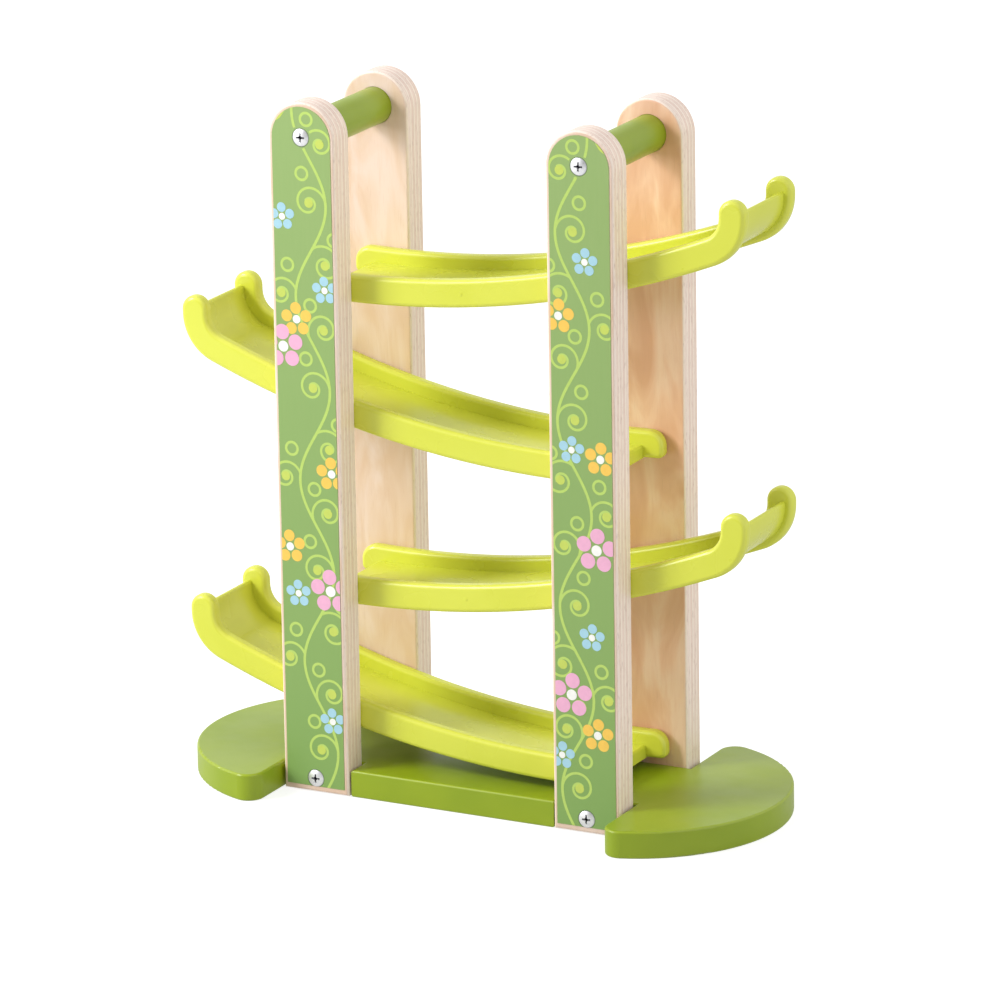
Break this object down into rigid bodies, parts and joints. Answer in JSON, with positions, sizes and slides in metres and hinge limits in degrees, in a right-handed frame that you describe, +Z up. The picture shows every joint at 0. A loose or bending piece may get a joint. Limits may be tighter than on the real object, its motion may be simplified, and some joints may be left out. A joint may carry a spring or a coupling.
{
  "type": "zigzag marble run",
  "caption": "Free-standing wooden ramp tower: plywood uprights on a shaped base hold zigzag plastic ramps for toy cars and balls to race down.",
  "frame": {"origin": "on the floor under the middle of the base board", "axes": "+Z up, +X to the right along the base board, -Y towards the printed front; the top ramp's high end is at +X"},
  "size_m": [0.306, 0.1396, 0.3413],
  "materials": {
    "birch_plywood": "clear satin lacquer over birch plywood",
    "green_paint": "satin green paint over wood",
    "lime_plastic": "glossy injection-moulded lime plastic",
    "printed_film": "satin printed film, green with a vine and flower pattern",
    "plated_steel": "bright zinc plate"
  },
  "bodies": {
    "root": {"base_board": "green_paint", "upright_front_left": "birch_plywood", "print_front_left": "printed_film", "screw_top_front_left": "plated_steel", "screw_base_front_left": "plated_steel", "upright_front_right": "birch_plywood", "print_front_right": "printed_film", "screw_top_front_right": "plated_steel", "screw_base_front_right": "plated_steel", "upright_rear_left": "birch_plywood", "print_rear_left": "printed_film", "screw_top_rear_left": "plated_steel", "screw_base_rear_left": "plated_steel", "upright_rear_right": "birch_plywood", "print_rear_right": "printed_film", "screw_top_rear_right": "plated_steel", "screw_base_rear_right": "plated_steel", "rod_left": "green_paint", "rod_right": "green_paint", "ramp_1_top": "lime_plastic", "ramp_2_upper": "lime_plastic", "ramp_3_lower": "lime_plastic", "ramp_4_bottom": "lime_plastic"}
  },
  "joints": []
}
